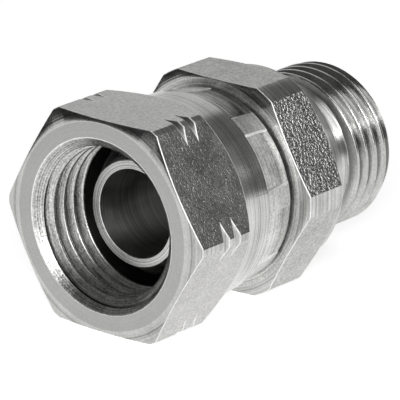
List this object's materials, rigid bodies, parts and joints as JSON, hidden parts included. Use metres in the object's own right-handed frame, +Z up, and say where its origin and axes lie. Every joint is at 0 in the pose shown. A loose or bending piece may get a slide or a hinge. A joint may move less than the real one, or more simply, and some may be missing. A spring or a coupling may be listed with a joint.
{
  "type": "swivel nut pipe adapter",
  "caption": "Straight pipe adapter: a male stud with a hexagon and flange, and a crimped swivel nut with internal thread around a cone nose, bored right through.",
  "frame": {"origin": "under the middle of the adapter, on the surface that its hexagon flats lie on", "axes": "+X along the pipe axis from the nut's mouth to the end of the stud, +Z up, square to a pair of wrench flats"},
  "size_m": [0.0448, 0.0306, 0.027],
  "materials": {
    "body_zinc_plated_steel": "bright zinc plate over turned steel, semi-gloss",
    "nut_zinc_plated_steel": "bright zinc plate over turned steel, semi-gloss"
  },
  "bodies": {
    "adapter": {"adapter_body": "body_zinc_plated_steel"},
    "nut": {"swivel_nut": "nut_zinc_plated_steel"}
  },
  "joints": [
    {"name": "nut_swivel", "type": "hinge", "parent": "adapter", "child": "nut", "pos_m": [-0.012, 0, 0.0135], "axis": [1, 0, 0], "continuous": true}
  ]
}
